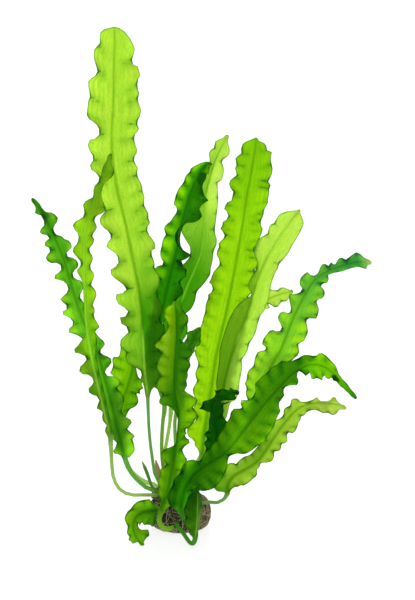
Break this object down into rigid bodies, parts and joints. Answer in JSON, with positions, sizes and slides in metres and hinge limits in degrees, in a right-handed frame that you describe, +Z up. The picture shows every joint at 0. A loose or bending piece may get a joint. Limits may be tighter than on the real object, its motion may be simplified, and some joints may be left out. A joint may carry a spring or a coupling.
{
  "type": "aponogeton longiplumulosus aquarium plant",
  "caption": "Potless aquarium plant: long translucent green leaves with ruffled margins rise and arch from a short crown on a squat plug of brown roots.",
  "frame": {"origin": "centre of the root plug's flat foot, on the surface it stands on", "axes": "+Z up, -Y towards the side the plant is shown from, +X to that viewer's right"},
  "size_m": [0.2275, 0.1209, 0.3421],
  "materials": {
    "root_fibre": "matte, fibrous",
    "crown_skin": "matte",
    "bright_leaf": "satin, translucent",
    "dark_leaf": "satin, translucent",
    "green_leaf": "satin, translucent",
    "pale_leaf": "satin, translucent",
    "dry_sheath": "matte"
  },
  "bodies": {
    "root": {"root_plug": "root_fibre", "crown": "crown_skin", "tall_leaf": "bright_leaf", "outer_left_leaf": "dark_leaf", "inner_left_leaf": "green_leaf", "low_back_leaf": "green_leaf", "curled_leaf": "dark_leaf", "pale_back_leaf": "pale_leaf", "small_centre_leaf": "green_leaf", "centre_leaf": "green_leaf", "broad_leaf": "bright_leaf", "pale_right_leaf": "pale_leaf", "small_back_leaf": "pale_leaf", "arching_leaf": "green_leaf", "short_dark_leaf": "dark_leaf", "drooping_leaf": "dark_leaf", "yellow_leaf": "pale_leaf", "floor_leaf": "green_leaf", "kinked_leaf": "dark_leaf", "young_shoot": "dark_leaf", "brown_sheath": "dry_sheath"}
  },
  "joints": []
}
